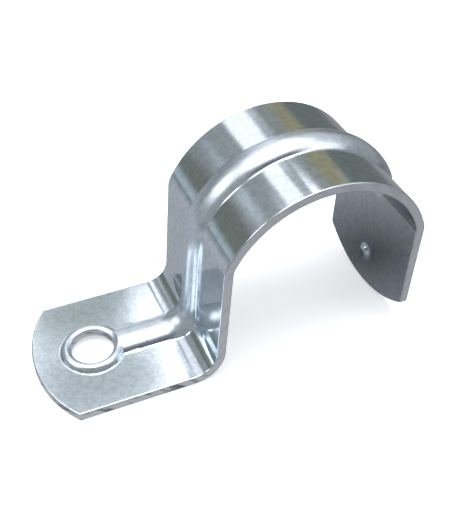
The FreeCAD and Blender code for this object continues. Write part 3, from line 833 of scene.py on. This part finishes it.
def studio_world(studio):
    """Soft studio light: a grey room with a few soft bright and dark patches."""
    world = bpy.data.worlds.new("Soft studio")
    world.use_nodes = True
    tree = world.node_tree
    tree.nodes.clear()
    towards = add(tree, "ShaderNodeTexCoord").outputs["Generated"]
    axes = add(tree, "ShaderNodeSeparateXYZ", {0: towards}).outputs
    uneven = noise(tree, towards, WAVER_SCALE)["Color"]
    uneven = add(tree, "ShaderNodeSeparateColor", {0: uneven}).outputs

    def wavering(value, channel):
        wave = maths(tree, "SUBTRACT", uneven[channel], 0.5)
        return maths(tree, "MULTIPLY_ADD", wave, WAVER_TURN, value)

    azimuth = wavering(maths(tree, "ARCTAN2", axes["X"], axes["Y"]), 0)
    elevation = wavering(maths(tree, "ARCSINE", axes["Z"]), 1)
    light = opaque(studio.walls, studio.wall_light)
    for name, middle, half, height, rise, soft, strength, code in PATCHES:
        inside = []
        for value, centre, reach in ((azimuth, middle, half), (elevation, height, rise)):
            away = maths(tree, "SUBTRACT", value, math.radians(centre))
            away = maths(tree, "ABSOLUTE", maths(tree, "WRAP", away, math.pi, -math.pi))
            inside.append(spread(tree, away, math.radians(reach + soft),
                                 math.radians(reach - soft),
                                 interpolation_type="SMOOTHSTEP"))
        light = mix(tree, maths(tree, "MULTIPLY", *inside), light,
                    opaque(linear(code), strength), label=name)
    room = add(tree, "ShaderNodeBackground", {"Color": light}).outputs[0]
    plain = add(tree, "ShaderNodeBackground", {"Color": WHITE}).outputs[0]
    seen = add(tree, "ShaderNodeLightPath").outputs["Is Camera Ray"]
    both = add(tree, "ShaderNodeMixShader", {0: seen, 1: room, 2: plain}).outputs[0]
    add(tree, "ShaderNodeOutputWorld", {"Surface": both})
    return world


def pale_floor(studio):
    """Matt white board, which shows white to the eye and a darker painted reflection to the
    metal.

    That painted reflection glows though it is no lamp. It has a painted pool of light in
    front of the strap, falling off with distance, and painted shade under the arch.
    """
    material, tree = new_material("Matt white board")
    material.cycles.emission_sampling = "NONE"
    place = add(tree, "ShaderNodeTexCoord").outputs["Object"]

    def pool(middle, radius):
        around = add(tree, "ShaderNodeMapping",
                     {"Vector": place, "Location": (*middle, FLOOR_LEVEL),
                      "Scale": (radius, radius, radius)},
                     vector_type="TEXTURE").outputs[0]
        return add(tree, "ShaderNodeTexGradient", {"Vector": around},
                   gradient_type="SPHERICAL").outputs["Fac"]

    # Painted reflection, seen only in the metal: a painted pool of light in front of the
    # strap and painted shade under the arch.
    lit = mix(tree, pool(*FRONT_POOL), opaque(studio.painted_floor_reflection), opaque(studio.painted_reflection_light))
    shade = spread(tree, pool(*SHADE_POOL), low=0.0, high=1.0, to_high=SHADE_SHARE)
    painted_floor_reflection = mix(tree, shade, lit, opaque(studio.painted_reflection_shade))
    painted_floor_reflection = add(tree, "ShaderNodeEmission", {"Color": painted_floor_reflection}).outputs[0]
    board = add(tree, "ShaderNodeBsdfDiffuse", {"Color": opaque(studio.floor)}).outputs[0]
    glow = add(tree, "ShaderNodeEmission",
               {"Color": WHITE, "Strength": studio.glow}).outputs[0]
    board = add(tree, "ShaderNodeAddShader", {0: board, 1: glow}).outputs[0]
    mirrored = add(tree, "ShaderNodeLightPath").outputs["Is Glossy Ray"]
    both = add(tree, "ShaderNodeMixShader", {0: mirrored, 1: board, 2: painted_floor_reflection}).outputs[0]
    add(tree, "ShaderNodeOutputMaterial", {"Surface": both})
    return material


class STRAP_OT_stage(bpy.types.Operator):
    """Set out the floor, the light and the camera"""

    bl_idname = "strap.stage"
    bl_label = "Set the stage"

    def execute(self, context):
        scene = context.scene
        studio = scene.strap_studio
        half = studio.floor_size / 2
        mesh = bpy.data.meshes.new("floor")
        corners = ((-half, -half), (half, -half), (half, half), (-half, half))
        mesh.from_pydata([(*corner, FLOOR_LEVEL) for corner in corners], [], [(0, 1, 2, 3)])
        mesh.materials.append(pale_floor(studio))
        floor = bpy.data.objects.new("floor", mesh)
        scene.collection.objects.link(floor)
        scene.world = studio_world(studio)
        scene.view_settings.view_transform = "Standard"
        lens = bpy.data.cameras.new("photo_camera")
        lens.lens = studio.lens
        lens.clip_start = CAMERA_CLIP
        camera = bpy.data.objects.new("photo_camera", lens)
        camera.location = CAMERA_PLACE
        camera.rotation_euler = [math.radians(turn) for turn in CAMERA_TURN]
        scene.collection.objects.link(camera)
        bpy.context.scene.camera = camera
        return {"FINISHED"}


class STRAP_PT_panel(bpy.types.Panel):
    """Strap tools in the sidebar"""

    bl_label = "Conduit strap"
    bl_idname = "STRAP_PT_panel"
    bl_space_type = "VIEW_3D"
    bl_region_type = "UI"
    bl_category = "Strap"

    def draw(self, context):
        scene = context.scene
        for group in (scene.strap_form, scene.strap_finish, scene.strap_studio):
            box = self.layout.box()
            for name in group.bl_rna.properties.keys():
                if name not in ("rna_type", "name"):
                    box.prop(group, name)
        self.layout.operator(STRAP_OT_press.bl_idname)
        self.layout.operator(STRAP_OT_stage.bl_idname)


CLASSES = (StrapForm, StrapFinish, Studio, STRAP_OT_press, STRAP_OT_stage, STRAP_PT_panel)


def register():
    """Make the strap's classes and its three groups of properties known to Blender."""
    for item in CLASSES:
        bpy.utils.register_class(item)
    bpy.types.Scene.strap_form = bpy.props.PointerProperty(type=StrapForm)
    bpy.types.Scene.strap_finish = bpy.props.PointerProperty(type=StrapFinish)
    bpy.types.Scene.strap_studio = bpy.props.PointerProperty(type=Studio)


def unregister():
    """Take the properties and the classes away again."""
    del bpy.types.Scene.strap_studio
    del bpy.types.Scene.strap_finish
    del bpy.types.Scene.strap_form
    for item in reversed(CLASSES):
        bpy.utils.unregister_class(item)


def main():
    """Build the strap and its stage."""
    register()
    bpy.ops.strap.press()
    bpy.ops.strap.stage()


if __name__ == "__main__":
    main()
